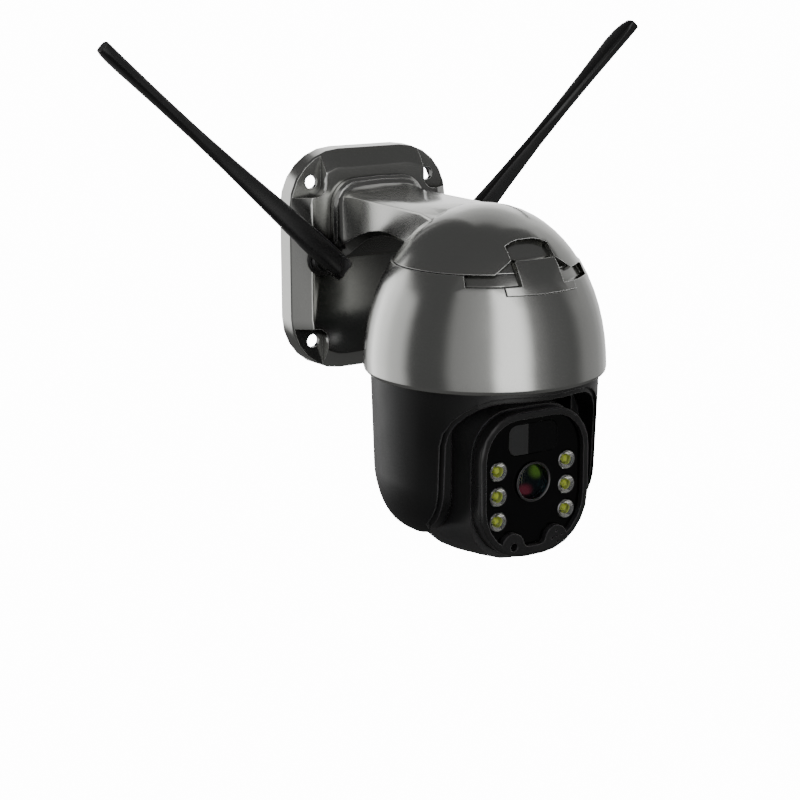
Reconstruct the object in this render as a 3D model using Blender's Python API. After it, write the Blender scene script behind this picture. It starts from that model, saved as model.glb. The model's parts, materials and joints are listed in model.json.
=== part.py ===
"""Pan-tilt security camera on a wall arm, with two folding antennas.

Sizes below are in millimetres; new_object turns them into Blender's metres.
The origin is the centre of the wall plate's back face. +Y points into the wall,
the camera looks along -Y, +Z is up and +X is to the right seen from the front.
"""

import math

import bmesh
import bpy
from mathutils import Matrix, Vector

MM = 0.001
GAP = 0.3
ROUND_STEP = math.radians(15)
SHARP_ANGLE = math.radians(32)
WELD = 2e-6
WARP = 1e-3

# Wall plate
PLATE_HALF_W = 45.0
PLATE_HALF_H = 55.0
PLATE_CORNER = 27.5
PLATE_EDGE_Y = -10.0
PAD_Y = -16.0
PAD_INSET = 9.2
LAND_X = 27.8
LAND_Z = 32.4
LAND_CORNER = 6.0
LAND_THICK = 2.5
PLATE_RIM = 2.8
POCKET_X = 24.0
POCKET_Z = 34.8
PLATE_HOLLOW_Y = -12.5
SCREW_HOLE_X = 33.1
SCREW_HOLE_Z = 39.3
SCREW_HOLE_R = 3.3

# Arm
COLLAR_HALF_W = 25.8
COLLAR_TOP = 40.4
COLLAR_CORNER = 13.0
COLLAR_BOTTOM = 4.0
COLLAR_Y = -20.2
ARM_HALF_W = 21.4
ARM_TOP = 34.6
ARM_EDGE = 34.2
ARM_BEVEL = 3.0
ARM_SIDE_TOP = 33.1
ARM_SIDE_ROUND = (0.3, 1.1)
ARM_END_Y = -118.0
ROOT_LENGTH = 15.0
ROOT_HALF_W = 24.6
ROOT_TOP = 39.0
ROOT_CORNER = 12.0
ARM_ARCH_TOP = 18.2
ARM_ARCH_RISE = 17.0
ARM_ARCH_Y = -60.0
CABLE_Z = 27.0
ARM_SCREW_X = 13.0
ARM_SCREW_Z = (14.0, 30.0)

# Dome
PAN_Y = -110.5
RIM_Z = -36.7
RIM_FILLET = 2.2
RIM_BORE = 52.5
DOME_R = 55.0
DOME_H = 75.2
CAP_POWER = 2.05
RING_POWER = 2.1
DOME_WALL = 3.0
SEAM_Z = 13.0
DOME_STEPS = 48
SEAL_IN = 36.0
SEAL_OUT = 37.2
SEAL_LOW = 11.2
SEAL_TOP = 14.6
NOTCH_DEPTH = 2.0
CLIP_PROUD = 0.9

# Pan drive inside the dome
BASE_TOP = -30.5
BASE_BOTTOM = -33.5
BUSH_R = 18.0
HUB_R = 13.5
HUB_NECK_R = 9.5
HUB_BORE_R = 7.0
GEAR_BOTTOM = -29.2
GEAR_TOP = -25.1
GEAR_MODULE = 1.0
GEAR_TEETH = 45
PINION_TEETH = 15
PINION_X = GEAR_MODULE * (GEAR_TEETH + PINION_TEETH) / 2
MOTOR_R = 12.0
MOTOR_EAR = 15.5
MOTOR_BOTTOM = -24.1
CELL_R = 9.2
CELL_LENGTH = 65.0
CELL_X = (-4.2, -23.2)
CELL_Z = -9.7
TRAY_BOTTOM = -20.9
BOARD_Z = 5.3

# Pan housing
DRUM_TOP = -34.5
DRUM_R = 51.7
DRUM_LOW_R = 50.3
DRUM_LOW_Z = -81.3
DRUM_BOTTOM = -106.0
DRUM_FLAT_R = 39.0
DRUM_ROUND = 1.7
DECK_Z = -38.5
OPENING_LEFT = 40.0
OPENING_RIGHT = 37.2
OPENING_TOP = -40.8
OPENING_CORNER = 19.7
OPENING_DEPTH_Y = -133.0
YOKE_TOE_R = 20.0
LIP_WIDTH = 2.3
LIP_DEPTH = 1.2
YOKE_HALF_W = 32.4
YOKE_BACK_Y = -71.8
YOKE_CORNER = 17.5
COVER_HALF_W = 25.0
COVER_TOP = -46.0
COVER_BOTTOM = -95.0
COVER_WALL = 3.0

# Tilting head
TILT_Y = PAN_Y
TILT_Z = -81.0
HEAD_HALF_W = (29.6, 30.8)
HEAD_TOP_R = (33.6, 36.0)
HEAD_LOW_R = (35.0, 37.0)
HEAD_TOP_CORNER = (20.0, 18.0)
HEAD_LOW_CORNER = (21.5, 15.5)
HEAD_WALL = 3.0
HEAD_FRONT_Y = -143.6
FACE_Y = -151.0
FACE_HALF_W = 29.5
FACE_HALF_H = 33.3
FACE_TOP_CORNER = 20.0
FACE_LOW_CORNER = 25.0
PANEL_Y = -148.6
PANEL_THICK = 2.0
PANEL_INSET = 3.3
PANEL_LOW_Z = -109.5
SCALLOP_X = 11.7
SCALLOP_R = 5.9
SCALLOP_TOP = -102.2
SCALLOP_BLEND = 3.0
MIC_HOLE_R = 1.9
LENS_Z = -80.6
LENS_R = 8.84
LED_X = 18.46
LED_PITCH = 11.43
LED_MIDDLE_Z = -84.8
LED_R = 4.5
PIR_HALF_W = 12.8
PIR_TOP = -54.0
PIR_BOTTOM = -67.6
LED_BOARD_Y = -142.6
SENSOR_BOARD_Y = -135.6
SHAFT_R = 2.5
PIVOT_R = 5.0
CARD_Y = -127.0
RESET_PLACE = (9.0, CARD_Y, 0.0)

# Antennas
ANTENNA_X = 31.4
ANTENNA_Z = 2.4
ANTENNA_PIVOT_Y = -30.3
ANTENNA_LEAN = {"left": -47.6, "right": 46.0}
ANTENNA_BASE_R = 7.0
ANTENNA_LENGTH = 164.0
SOCKET_R = 8.0


def clear_scene():
    for obj in list(bpy.data.objects):
        bpy.data.objects.remove(obj, do_unlink=True)


def make_material(name, colour, roughness, metallic=0.0):
    made = bpy.data.materials.new(name)
    made.use_nodes = True
    shader = made.node_tree.nodes["Principled BSDF"]
    shader.inputs["Base Color"].default_value = (*colour, 1.0)
    shader.inputs["Roughness"].default_value = roughness
    shader.inputs["Metallic"].default_value = metallic
    return made


# Outlines


def between(pair, share):
    return pair[0] + (pair[1] - pair[0]) * share


def arc(centre, radius, start, end, count):
    """Points on an arc, in degrees, both ends included."""
    turns = [math.radians(start + (end - start) * i / count) for i in range(count + 1)]
    return [(centre[0] + radius * math.cos(t), centre[1] + radius * math.sin(t)) for t in turns]


def rounded(corners):
    """A closed outline from (u, v, radius) corners, each radius as an arc."""
    points = []
    for i, (u, v, radius) in enumerate(corners):
        here = Vector((u, v))
        if radius <= 0:
            points.append((u, v))
            continue
        back = (Vector(corners[i - 1][:2]) - here).normalized()
        ahead = (Vector(corners[(i + 1) % len(corners)][:2]) - here).normalized()
        half = back.angle(ahead) / 2
        middle = here + (back + ahead).normalized() * (radius / math.sin(half))
        first = here + back * (radius / math.tan(half)) - middle
        turn = first.angle_signed(here + ahead * (radius / math.tan(half)) - middle)
        count = max(2, round(abs(turn) / ROUND_STEP))
        for k in range(count + 1):
            angle = math.atan2(first.y, first.x) - turn * k / count
            points.append((middle.x + radius * math.cos(angle), middle.y + radius * math.sin(angle)))
    return points


def rounded_box(half_w, low, high, low_corner, high_corner=None):
    high_corner = low_corner if high_corner is None else high_corner
    return rounded(
        [
            (-half_w, low, low_corner),
            (half_w, low, low_corner),
            (half_w, high, high_corner),
            (-half_w, high, high_corner),
        ]
    )


def mirrored(half):
    """A closed outline from its right half, listed from bottom to top."""
    return half + [(-u, v) for u, v in reversed(half) if abs(u) > 1e-6]


def gear_outline(teeth):
    """Involute teeth with a short addendum and a little backlash."""
    pitch = GEAR_MODULE * teeth / 2
    base = pitch * math.cos(math.radians(20))
    involute = math.tan(math.radians(20)) - math.radians(20)
    half = math.pi / (2 * teeth) - 0.09 / pitch + involute
    flank = []
    for radius in (pitch - 1.05 * GEAR_MODULE, pitch + 0.75 * GEAR_MODULE):
        pressure = math.acos(min(1.0, base / radius))
        flank.append((radius, half - (math.tan(pressure) - pressure)))
    points = []
    for tooth in range(teeth):
        middle = 2 * math.pi * tooth / teeth
        for radius, angle in flank:
            points.append((radius * math.cos(middle - angle), radius * math.sin(middle - angle)))
        for radius, angle in reversed(flank):
            points.append((radius * math.cos(middle + angle), radius * math.sin(middle + angle)))
    return points


# Solids


def new_object(shape):
    """An object from a bmesh in millimetres, facing outwards, with its warped faces split."""
    bmesh.ops.triangulate(shape, faces=[face for face in shape.faces if is_warped(face)])
    bmesh.ops.recalc_face_normals(shape, faces=shape.faces)
    mesh = bpy.data.meshes.new("shape")
    shape.to_mesh(mesh)
    shape.free()
    mesh.transform(Matrix.Scale(MM, 4))
    obj = bpy.data.objects.new("shape", mesh)
    bpy.context.collection.objects.link(obj)
    return obj


def is_warped(face):
    """True for a four-sided face whose corners miss one plane."""
    if len(face.verts) != 4:
        return False
    first, second, third, fourth = [vert.co for vert in face.verts]
    return abs((third - first).dot((second - first).cross(fourth - first))) > WARP


def loft(rings):
    """A closed skin through rings of equal point counts, capped at both ends."""
    shape = bmesh.new()
    rows = [[shape.verts.new(point) for point in ring] for ring in rings]
    count = len(rows[0])
    for low, high in zip(rows, rows[1:]):
        for i in range(count):
            j = (i + 1) % count
            shape.faces.new((low[i], low[j], high[j], high[i]))
    shape.faces.new(rows[0][::-1])
    shape.faces.new(rows[-1])
    return new_object(shape)


def spread(outline, axis, height):
    """A flat outline as points in space: (y, z) on X, (x, z) on Y, (x, y) on Z."""
    if axis == "X":
        return [(height, u, v) for u, v in outline]
    if axis == "Y":
        return [(u, height, v) for u, v in outline]
    return [(u, v, height) for u, v in outline]


def prism(outline, axis, start, end):
    return loft([spread(outline, axis, start), spread(outline, axis, end)])


def box(x, y, z):
    return prism([(x[0], y[0]), (x[1], y[0]), (x[1], y[1]), (x[0], y[1])], "Z", *z)


def turned(profile, axis="Z", centre=(0.0, 0.0, 0.0), steps=24):
    """A turned solid from (radius, height) points. It is a ring unless the ends touch the axis."""
    shape = bmesh.new()
    rows = []
    for radius, height in profile:
        count = 1 if radius < 1e-6 else steps
        turns = [2 * math.pi * k / steps for k in range(count)]
        flat = [(radius * math.cos(t), radius * math.sin(t)) for t in turns]
        ring = [Vector(point) + Vector(centre) for point in spread(flat, axis, height)]
        rows.append([shape.verts.new(point) for point in ring])
    pairs = list(zip(rows, rows[1:]))
    if len(rows[0]) > 1 and len(rows[-1]) > 1:
        pairs.append((rows[-1], rows[0]))
    for low, high in pairs:
        for i in range(steps):
            j = (i + 1) % steps
            corners = [low[i % len(low)], low[j % len(low)], high[j % len(high)], high[i % len(high)]]
            shape.faces.new(list(dict.fromkeys(corners)))
    flat_ends = [vert for vert in shape.verts if len(vert.link_faces) == steps and is_flat(vert)]
    bmesh.ops.dissolve_verts(shape, verts=flat_ends)
    return new_object(shape)


def is_flat(vert):
    """True for a pole whose faces all lie in one plane."""
    for face in vert.link_faces:
        face.normal_update()
    first = vert.link_faces[0].normal
    return all(abs(face.normal.dot(first)) > 0.99999 for face in vert.link_faces)


def rod(radius, axis, start, end, centre=(0.0, 0.0, 0.0), steps=16):
    return turned([(0, start), (radius, start), (radius, end), (0, end)], axis, centre, steps)


def combine(target, other, operation):
    """Applies one Boolean and removes the tool."""
    modifier = target.modifiers.new(operation, "BOOLEAN")
    modifier.operation = operation
    modifier.solver = "EXACT"
    modifier.object = other
    bpy.context.view_layer.update()
    graph = bpy.context.evaluated_depsgraph_get()
    shape = bmesh.new()
    shape.from_mesh(target.evaluated_get(graph).to_mesh())
    bmesh.ops.remove_doubles(shape, verts=shape.verts, dist=WELD)
    bmesh.ops.dissolve_degenerate(shape, edges=shape.edges, dist=WELD)
    target.modifiers.clear()
    shape.to_mesh(target.data)
    shape.free()
    bpy.data.objects.remove(other, do_unlink=True)
    return target


def cut(target, *tools):
    for tool in tools:
        combine(target, tool, "DIFFERENCE")
    return target


def fuse(target, *others):
    for other in others:
        combine(target, other, "UNION")
    return target


def meet(target, other):
    return combine(target, other, "INTERSECT")


def carrier(name, location, parent=None):
    """An empty on a joint's axis, which its pieces hang from."""
    empty = bpy.data.objects.new(name, None)
    empty.empty_display_size = 0.01
    bpy.context.collection.objects.link(empty)
    if parent:
        empty.parent = parent
        bpy.context.view_layer.update()
        empty.matrix_parent_inverse = parent.matrix_world.inverted()
    empty.location = Vector(location) * MM
    bpy.context.view_layer.update()
    return empty


def finish(obj, name, material, parent=None):
    obj.name = name
    obj.data.name = name
    obj.data.materials.clear()
    obj.data.materials.append(material)
    obj.data.shade_smooth()
    obj.data.set_sharp_from_angle(angle=SHARP_ANGLE)
    if parent:
        obj.parent = parent
        obj.matrix_parent_inverse = parent.matrix_world.inverted()
    return obj


# Wall plate


def plate_outline(inset):
    return rounded_box(
        PLATE_HALF_W - inset, -PLATE_HALF_H + inset, PLATE_HALF_H - inset, PLATE_CORNER - inset
    )


def wall_plate(metal):
    steps = [(0.0, 0.0), (-9.0, 0.35), (PLATE_EDGE_Y, 1.0)]
    steps += [(PAD_Y + 0.6, PAD_INSET - 1.1), (PAD_Y, PAD_INSET)]
    plate = loft([spread(plate_outline(inset), "Y", y) for y, inset in steps])
    far = 2 * PLATE_HALF_H
    for side in (-1, 1):
        for level in (-1, 1):
            land = [(LAND_X, LAND_Z, LAND_CORNER), (far, LAND_Z, 0), (far, far, 0), (LAND_X, far, 0)]
            outline = [(side * u, level * v) for u, v in rounded(land)]
            cut(plate, prism(outline, "Y", PLATE_EDGE_Y, PAD_Y - 5))
            hole = (side * SCREW_HOLE_X, 0.0, level * SCREW_HOLE_Z)
            cut(plate, rod(SCREW_HOLE_R, "Y", -14, -4, hole, 12))
            pocket = prism(plate_outline(PLATE_RIM), "Y", 3, PLATE_EDGE_Y + LAND_THICK)
            corner_x = sorted((side * POCKET_X, side * far))
            corner_z = sorted((level * POCKET_Z, level * far))
            cut(plate, meet(pocket, box(corner_x, (-20, 10), corner_z)))
    cut(plate, prism(rounded_box(26, -46, 46, 6), "Y", 5, PLATE_HOLLOW_Y))
    cut(plate, rod(5.0, "Y", -20, -8, (0, 0, CABLE_Z)))
    for x, z in arm_screw_places():
        cut(plate, rod(2.0, "Y", -20, -8, (x, 0, z), 12))
    for side in (-1, 1):
        cut(plate, rod(3.3, "Y", -20, 4, (side * ANTENNA_X, 0, ANTENNA_Z), 12))
    return finish(plate, "wall_plate", metal)


def arm_screw_places():
    return [(side * ARM_SCREW_X, z) for z in ARM_SCREW_Z for side in (-1, 1)]


def plate_fittings(steel, rubber):
    for i, (x, z) in enumerate(arm_screw_places()):
        profile = [(0, -24), (1.6, -24), (1.6, -12.2), (3.2, -12.2), (3.2, -10.6), (2.4, -9.9), (0, -9.9)]
        finish(turned(profile, "Y", (x, 0, z), 10), f"arm_screw_{i + 1}", steel)
    ring = [(1.6, -18.5), (1.6, -10.5), (6.5, -10.5), (6.5, -12.2)]
    ring += [(4.7, -12.2), (4.7, -16.1), (2.7, -16.1), (2.7, -18.5)]
    finish(turned(ring, "Y", (0, 0, CABLE_Z), 14), "cable_grommet", rubber)


# Arm and dome shells


def dome_radius(z, grow=0.0, power=CAP_POWER):
    share = min(1.0, max(0.0, (z - RIM_Z) / (DOME_H + grow)))
    return (DOME_R + grow) * (1 - share**power) ** (1 / power)


def dome_levels(low, grow, count):
    """Heights from low to the apex, closer together near the top."""
    high = RIM_Z + DOME_H + grow
    return [low + (high - low) * math.sin(math.pi / 2 * k / count) for k in range(count + 1)]


def dome_solid(grow, low, count=9):
    """A plain dome from a level up, grown or shrunk all over."""
    levels = dome_levels(low, grow, count)
    profile = [(0, low)] + [(dome_radius(z, grow), z) for z in levels[:-1]] + [(0, levels[-1])]
    return turned(profile, "Z", (0, PAN_Y, 0), DOME_STEPS)


def notch_outline():
    """The clip's seat at the front: two side pockets, a raised middle and a ledge below."""
    low = [(18.5, 4.9), (18.5, 8.2), (32.0, 8.2), (31.0, SEAM_Z)]
    return mirrored(low + [(20.5, SEAM_Z), (11.4, 18.8), (11.2, 24.2), (7.6, 25.7), (3.8, 26.5)])


def notch_cutter():
    return cut(prism(notch_outline(), "Y", -180, -125), dome_solid(-NOTCH_DEPTH, RIM_Z - 4))


def clip_outline():
    return mirrored([(18.2, 5.2), (18.2, 8.4), (10.9, 8.6), (10.6, 17.8), (9.8, 18.8)])


def front_clip(metal):
    clip = prism(clip_outline(), "Y", -178, -126)
    meet(clip, dome_solid(CLIP_PROUD, RIM_Z - 4, 14))
    cut(clip, dome_solid(GAP - NOTCH_DEPTH, RIM_Z - 5, 14))
    return finish(clip, "front_clip", metal)


def arm_ring(y):
    """The arm's section at one depth: crowned top, bevelled edges, chamfered underside, flared root."""
    along = min(1.0, max(0.0, (COLLAR_Y - y) / ROOT_LENGTH))
    flare = 1 - math.sqrt(1 - (1 - along) ** 2)
    reach = max(0.0, (-75 - y) / 35)
    half = ARM_HALF_W + 2.6 * reach**2
    fade = max(0.0, (-105 - y) / 13) ** 2
    top = ARM_TOP + 3.9 * min(1.0, max(0.0, (-45 - y) / 65)) ** 1.5 - 1.8 * fade
    edge = ARM_EDGE + 0.8 * min(1.0, max(0.0, (-45 - y) / 40)) - 0.014 * max(0.0, -88 - y) ** 2
    bevel = ARM_BEVEL + 2.5 * max(0.0, (-45 - y) / 35)
    side = min(ARM_SIDE_TOP, edge - 1.1)
    upper = [(half, side - ARM_SIDE_ROUND[1]), (half - ARM_SIDE_ROUND[0], side)]
    upper += [((half - bevel) * k / 3, edge + (top - edge) * (1 - (k / 3) ** 2)) for k in (3, 2, 1, 0)]
    root = arc((ROOT_HALF_W - ROOT_CORNER, ROOT_TOP - ROOT_CORNER), ROOT_CORNER, 0, 90, 4)
    root.append((0.0, ROOT_TOP + 0.6))
    upper = [tuple(between(pair, flare) for pair in zip(*points)) for points in zip(upper, root)]
    arch = max(0.0, (y - ARM_ARCH_Y) / 43)
    dip = max(0.0, (ARM_ARCH_Y - y) / 43)
    low = ARM_ARCH_TOP - ARM_ARCH_RISE * arch**2 - min(5.0, 12 * dip**2)
    chamfer = 2.2 + 3.0 * arch**2
    foot = upper[0][0]
    return spread(mirrored([(foot - chamfer, low), (foot, low + chamfer)] + upper), "Y", y)


def collar_ring(y, inset):
    half = COLLAR_HALF_W - inset
    top = COLLAR_TOP - inset
    corner = COLLAR_CORNER - inset
    corners = [(-half, COLLAR_BOTTOM + inset, 8), (half, COLLAR_BOTTOM + inset, 8), (half, top, corner)]
    corners += [(0, top + 0.8, 60), (-half, top, corner)]
    return spread(rounded(corners), "Y", y)


def arm_housing(metal):
    seat = SEAM_Z + GAP
    housing = dome_solid(0.0, seat)
    depths = [-18.4, COLLAR_Y, -21.4, -23.2, -26, -30, -36, -45, -53, -60, -68, -78, -90, -100, -110]
    fuse(housing, loft([arm_ring(y) for y in depths + [ARM_END_Y]]))
    collar = ((PAD_Y - GAP, 0), (-18.8, 0), (COLLAR_Y, 1.4))
    fuse(housing, loft([collar_ring(y, inset) for y, inset in collar]))
    levels = dome_levels(SEAL_TOP, -DOME_WALL, 5)
    hollow = [(0, 9), (SEAL_OUT + GAP, 9), (SEAL_OUT + GAP, SEAL_TOP)]
    hollow += [(dome_radius(z, -DOME_WALL), z) for z in levels[:-1]] + [(0, levels[-1])]
    cut(housing, turned(hollow, "Z", (0, PAN_Y, 0), DOME_STEPS))
    cut(housing, rod(3.0, "Y", -80, -10, (0, 0, CABLE_Z)), notch_cutter())
    for x, z in arm_screw_places():
        cut(housing, rod(2.0, "Y", -26, -10, (x, 0, z), 12))
    return finish(housing, "arm_housing", metal)


def dome_ring(metal):
    def outside(z):
        return dome_radius(z, 0.0, RING_POWER)

    low = RIM_Z + RIM_FILLET
    levels = [between((SEAM_Z, low), k / 7) for k in range(7)]
    profile = [(outside(z), z) for z in levels]
    profile += arc((DOME_R - RIM_FILLET, low), RIM_FILLET, 0, -90, 3)
    profile += [(RIM_BORE, RIM_Z), (RIM_BORE, BASE_TOP + GAP), (50.3, BASE_TOP + GAP)]
    profile += [(outside(z) - 3.2, z) for z in (-12, 2)]
    profile += [(SEAL_IN - GAP, 9.6), (SEAL_IN - GAP, SEAL_LOW)]
    profile += [(SEAL_OUT + GAP, SEAL_LOW), (SEAL_OUT + GAP, SEAM_Z)]
    ring = turned(profile, "Z", (0, PAN_Y, 0), DOME_STEPS)
    cut(ring, notch_cutter())
    return finish(ring, "dome_ring", metal)


# Pan drive


def pan_drive(plastic, steel, brass, rubber, pan_axis, pinion_axis):
    centre = (0, PAN_Y, 0)
    seal_z = (SEAL_LOW + GAP, SEAL_TOP - GAP)
    seal = [(SEAL_IN, seal_z[0]), (SEAL_OUT, seal_z[0]), (SEAL_OUT, seal_z[1]), (SEAL_IN, seal_z[1])]
    finish(turned(seal, "Z", centre, 32), "cap_seal", rubber)

    outer = RIM_BORE - GAP
    disc = [(BUSH_R + GAP, BASE_BOTTOM), (outer, BASE_BOTTOM), (outer, BASE_TOP), (BUSH_R + GAP, BASE_TOP)]
    base = turned(disc, "Z", centre, 32)
    for side in (-1, 1):
        motor_post = (PINION_X, PAN_Y + side * MOTOR_EAR, 0)
        fuse(base, rod(3.0, "Z", BASE_BOTTOM + 1, MOTOR_BOTTOM - GAP, motor_post, 12))
        for x in (-28.0, 2.0):
            fuse(base, rod(2.6, "Z", BASE_BOTTOM + 1, TRAY_BOTTOM - GAP, (x, PAN_Y + side * 31, 0), 12))
    finish(base, "dome_base", plastic)

    inner = HUB_R + GAP
    bush = [(inner, BASE_BOTTOM), (BUSH_R, BASE_BOTTOM), (BUSH_R, -30.2)]
    bush += [(20.6, -30.2), (20.6, -29.5), (inner, -29.5)]
    finish(turned(bush, "Z", centre, 24), "pan_bush", brass)

    hub = [(HUB_BORE_R, -41.2), (20, -41.2), (20, DECK_Z - GAP), (HUB_R, DECK_Z - GAP), (HUB_R, -29.5)]
    hub += [(HUB_NECK_R, -29.5), (HUB_NECK_R, -21.5), (HUB_BORE_R, -21.5)]
    finish(turned(hub, "Z", centre, 24), "pan_hub", steel, pan_axis)

    gear = prism([(x, y + PAN_Y) for x, y in gear_outline(GEAR_TEETH)], "Z", GEAR_BOTTOM, GEAR_TOP)
    cut(gear, rod(HUB_NECK_R + GAP, "Z", -35, -15, centre, 24))
    finish(gear, "pan_gear", plastic, pan_axis)

    hexagon = [(x, y + PAN_Y) for x, y in arc((0, 0), 14.0, 0, 300, 5)]
    nut = prism(hexagon, "Z", GEAR_TOP + GAP, -22.0)
    cut(nut, rod(HUB_NECK_R + GAP, "Z", -35, -15, centre, 24))
    finish(nut, "hub_nut", steel, pan_axis)

    shaft = (PINION_X, PAN_Y, 0)
    outline = [(x + PINION_X, y + PAN_Y) for x, y in gear_outline(PINION_TEETH)]
    pinion = prism(outline, "Z", GEAR_BOTTOM, GEAR_TOP)
    fuse(pinion, rod(2.0, "Z", GEAR_BOTTOM + 1, -17, shaft, 16))
    finish(pinion, "pan_pinion", brass, pinion_axis)

    can = [(0, MOTOR_BOTTOM), (MOTOR_R, MOTOR_BOTTOM), (MOTOR_R, -7), (MOTOR_R - 1, -6), (0, -6)]
    motor = turned(can, "Z", shaft, 20)
    ear = rounded_box(3.5, -MOTOR_EAR - 3.5, MOTOR_EAR + 3.5, 3.4)
    ear = [(x + PINION_X, y + PAN_Y) for x, y in ear]
    fuse(motor, prism(ear, "Z", MOTOR_BOTTOM + 0.02, MOTOR_BOTTOM + 1.2))
    cut(motor, rod(2.4, "Z", -30, -16, shaft, 16))
    finish(motor, "pan_motor", steel)


def power_pack(plastic, cell_wrap, board_green):
    tray = box((-32.5, 6), (PAN_Y - 35, PAN_Y + 35), (TRAY_BOTTOM, TRAY_BOTTOM + 1.5))
    for side in (-1, 1):
        wall = sorted((PAN_Y + side * 33, PAN_Y + side * 35))
        fuse(tray, box((-30, 4), wall, (TRAY_BOTTOM + 0.5, CELL_Z)))
        post = sorted((PAN_Y + side * 32.9, PAN_Y + side * 35.1))
        fuse(tray, box((-13, -5), post, (CELL_Z - 2, BOARD_Z - GAP)))
    finish(tray, "battery_tray", plastic)
    half = CELL_LENGTH / 2
    for i, x in enumerate(CELL_X):
        can = [(0, -half), (CELL_R - 0.6, -half), (CELL_R, -half + 0.6), (CELL_R, half - 2)]
        can += [(CELL_R - 0.6, half - 1.2), (3.0, half - 1.2), (3.0, half), (0, half)]
        finish(turned(can, "Y", (x, PAN_Y, CELL_Z), 16), f"battery_cell_{i + 1}", cell_wrap)
    outline = [(x - 9, y + PAN_Y) for x, y in rounded_box(17, -35, 35, 14)]
    board = prism(outline, "Z", BOARD_Z, BOARD_Z + 1.6)
    for x, y, size, height in ((-13, -12, 8, 2.2), (-3, 14, 6, 1.8), (-18, 14, 5, 3.0)):
        across = (PAN_Y + y - size, PAN_Y + y + size)
        fuse(board, box((x - size, x + size), across, (BOARD_Z + 1, BOARD_Z + 1.6 + height)))
    finish(board, "main_board", board_green)


# Pan housing


def drum_profile(shrink):
    """The drum's outer profile from top to bottom, shrunk all over."""
    radius = DRUM_LOW_R - DRUM_FLAT_R
    height = DRUM_LOW_Z - DRUM_BOTTOM
    turns = [math.pi / 2 * k / 8 for k in range(9)]
    fillet = [(math.cos(t) ** (2 / DRUM_ROUND), math.sin(t) ** (2 / DRUM_ROUND)) for t in turns]
    side = [(DRUM_R - 1.4, DRUM_TOP), (DRUM_R - 0.3, DRUM_TOP - 1.0), (DRUM_R, DRUM_TOP - 3.5)]
    side += [(DRUM_FLAT_R + radius * c, DRUM_LOW_Z - height * s) for c, s in fillet]
    return [(0, DRUM_TOP)] + [(r - shrink, z) for r, z in side] + [(0, DRUM_BOTTOM)]


def drum(shrink=0.0):
    return turned(drum_profile(shrink), "Z", (0, PAN_Y, 0), DOME_STEPS)


def opening_outline(grow):
    """The front opening: a round-topped door without a sill."""
    left = -OPENING_LEFT - grow
    right = OPENING_RIGHT + grow
    top = OPENING_TOP + grow
    corner = OPENING_CORNER + grow
    return rounded([(left, -125, 0), (right, -125, 0), (right, top, corner), (left, top, corner)])


def toe_outline():
    """What is cut off below the yoke's rounded front toes, seen from the side."""
    heel = OPENING_DEPTH_Y + YOKE_TOE_R
    curve = arc((heel, DRUM_BOTTOM + YOKE_TOE_R), YOKE_TOE_R, 180, 270, 6)
    below = DRUM_BOTTOM - 6
    return curve + [(heel, below), (OPENING_DEPTH_Y - 1, below), (OPENING_DEPTH_Y - 1, curve[0][1])]


def cover_outline(inset):
    return rounded_box(COVER_HALF_W - inset, COVER_BOTTOM + inset, COVER_TOP - inset, 10 - inset / 2)


def cover_screw_places():
    return [(0.0, COVER_TOP - 3.6), (0.0, COVER_BOTTOM + 3.6)]


def pan_housing(black, steel, pan_axis):
    housing = drum()
    cut(housing, cut(prism(opening_outline(LIP_WIDTH), "Y", -180, -128), drum(LIP_DEPTH)))
    cut(housing, prism(opening_outline(0.0), "Y", -181, OPENING_DEPTH_Y))
    cut(housing, prism(toe_outline(), "X", -OPENING_LEFT + 0.02, OPENING_RIGHT - 0.02))
    slot = rounded_box(YOKE_HALF_W, OPENING_DEPTH_Y - 1, YOKE_BACK_Y, 0, YOKE_CORNER)
    cut(housing, prism(slot, "Z", -126, DECK_Z))
    recess = cut(prism(cover_outline(0.0), "Y", PAN_Y + 10, -40), drum(COVER_WALL + GAP))
    cut(housing, recess, prism(cover_outline(7.0), "Y", YOKE_BACK_Y - 2, -39))
    tilt = (0, TILT_Y, TILT_Z)
    cut(housing, rod(SHAFT_R + GAP, "X", -44.3, -30, tilt, 16), rod(7.3, "X", 30, 42.8, tilt, 16))
    cut(housing, rod(HUB_R + GAP, "Z", -45, -25, (0, PAN_Y, 0), 24))
    cover = meet(prism(cover_outline(GAP), "Y", PAN_Y + 12, -41), drum())
    cut(cover, drum(COVER_WALL))
    for i, (x, z) in enumerate(cover_screw_places()):
        seat = PAN_Y + drum_radius(z)
        cut(housing, rod(1.7, "Y", seat - 12, -40, (x, 0, z), 12))
        cut(cover, rod(1.8, "Y", seat - 8, -40, (x, 0, z), 12))
        cut(cover, rod(3.1, "Y", seat - 1.6, -40, (x, 0, z), 16))
        screw = [(0, seat - 11), (1.4, seat - 11), (1.4, seat - 1.3)]
        screw += [(2.7, seat - 1.3), (2.7, seat - 0.4), (0, seat - 0.2)]
        finish(turned(screw, "Y", (x, 0, z), 16), f"rear_cover_screw_{i + 1}", steel, pan_axis)
    finish(cover, "rear_cover", black, pan_axis)
    return finish(housing, "pan_housing", black, pan_axis)


def drum_radius(z):
    profile = drum_profile(0.0)[1:-1]
    for (high_r, high_z), (low_r, low_z) in zip(profile, profile[1:]):
        if low_z <= z <= high_z:
            return low_r + (high_r - low_r) * (z - low_z) / (high_z - low_z)
    return 0.0


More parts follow.
